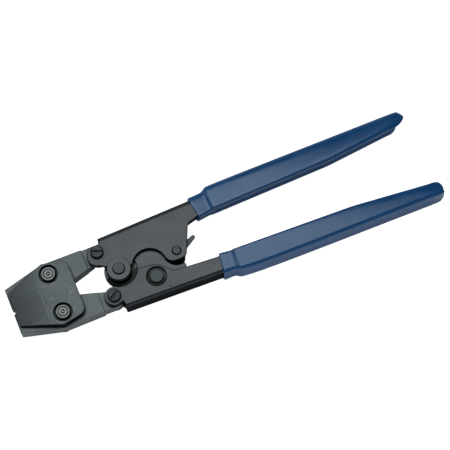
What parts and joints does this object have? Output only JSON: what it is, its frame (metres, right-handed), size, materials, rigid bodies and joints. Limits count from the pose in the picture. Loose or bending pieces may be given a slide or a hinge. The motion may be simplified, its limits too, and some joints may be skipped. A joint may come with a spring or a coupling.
{
  "type": "ratcheting pipe clamp plier",
  "caption": "Two-handed plier with a compound jaw linkage, side plates, ratchet and pawl, and dipped blue grips, for closing clamp rings on plastic pipe.",
  "frame": {"origin": "centre of the tool's box, on the surface it lies on", "axes": "+X from the jaws to the handles, +Y to the upper handle, +Z out of the face with the screws"},
  "size_m": [0.33, 0.0749, 0.0229],
  "materials": {
    "frame_steel": "dark grey satin",
    "plate_steel": "dark grey satin",
    "jaw_steel": "dark grey satin",
    "dark_steel": "oiled black oxide",
    "screw_steel": "turned, dulled",
    "bright_steel": "turned, bright",
    "spring_steel": "drawn wire",
    "blue_vinyl": "glossy dipped vinyl"
  },
  "bodies": {
    "upper_handle": {"upper_handle_frame": "frame_steel", "upper_grip": "blue_vinyl", "center_pivot_pin": "screw_steel", "pivot_washer_front": "dark_steel", "pivot_washer_rear": "dark_steel", "upper_link_screw": "screw_steel", "upper_link_post": "screw_steel", "pawl_pin": "screw_steel", "pawl_spacer": "dark_steel", "pawl_spring": "spring_steel"},
    "lower_handle": {"lower_handle_frame": "frame_steel", "lower_grip": "blue_vinyl", "ratchet_plate": "dark_steel", "ratchet_pin": "screw_steel", "ratchet_pin_ring": "dark_steel", "lower_link_screw": "screw_steel", "lower_link_post": "screw_steel", "pivot_thrust_washers": "dark_steel"},
    "upper_jaw": {"upper_jaw": "jaw_steel", "upper_link_washers": "dark_steel"},
    "lower_jaw": {"lower_jaw": "jaw_steel", "lower_link_washers": "dark_steel"},
    "jaw_plates": {"front_jaw_plate": "plate_steel", "rear_jaw_plate": "plate_steel", "upper_jaw_pin": "bright_steel", "lower_jaw_pin": "bright_steel"},
    "pawl": {"pawl": "dark_steel"}
  },
  "joints": [
    {"name": "handle_pivot", "type": "hinge", "parent": "upper_handle", "child": "lower_handle", "pos_m": [-0.08215, 0, 0.0109], "axis": [0, 0, -1], "range_deg": [0, 40]},
    {"name": "upper_jaw_link", "type": "hinge", "parent": "upper_handle", "child": "upper_jaw", "pos_m": [-0.09255, 0.0179, 0.0109], "axis": [0, 0, -1], "range_deg": [-0.5, 27.5]},
    {"name": "lower_jaw_link", "type": "hinge", "parent": "lower_handle", "child": "lower_jaw", "pos_m": [-0.09255, -0.0179, 0.0109], "axis": [0, 0, 1], "range_deg": [-0.5, 27.5]},
    {"name": "jaw_plate_pivot", "type": "hinge", "parent": "upper_jaw", "child": "jaw_plates", "pos_m": [-0.13135, 0.0154, 0.0109], "axis": [0, 0, 1], "range_deg": [-0.5, 7]},
    {"name": "pawl_swing", "type": "hinge", "parent": "upper_handle", "child": "pawl", "pos_m": [-0.03785, -0.0029, 0.0109], "axis": [0, 0, 1], "range_deg": [-8, 8], "stiffness_Nm_per_rad": 0.03, "deforming": ["pawl_spring"]}
  ],
  "couplings": [
    {"joint": "upper_jaw_link", "follows": "handle_pivot", "ratio": 0.66479},
    {"joint": "lower_jaw_link", "follows": "handle_pivot", "ratio": 0.66479},
    {"joint": "jaw_plate_pivot", "follows": "handle_pivot", "ratio": 0.16479}
  ]
}
